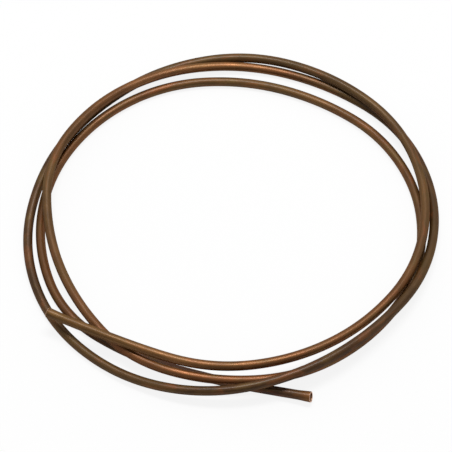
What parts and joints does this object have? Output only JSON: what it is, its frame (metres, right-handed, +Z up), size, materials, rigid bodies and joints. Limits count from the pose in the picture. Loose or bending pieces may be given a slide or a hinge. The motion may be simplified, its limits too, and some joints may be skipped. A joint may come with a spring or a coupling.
{
  "type": "copper tube coil",
  "caption": "Loose hand-wound coil of soft round copper tube, its turns crossing each other, with both cut ends left free and straight.",
  "frame": {"origin": "middle of the coil, on the floor that it lies on", "axes": "+Z up; X and Y lie in the floor, and the lower free end points along +X with a little -Y"},
  "size_m": [0.2813, 0.2807, 0.0195],
  "materials": {
    "copper": "drawn copper tarnished to a dull brown, satin"
  },
  "bodies": {
    "root": {"copper_tube": "copper"}
  },
  "joints": []
}
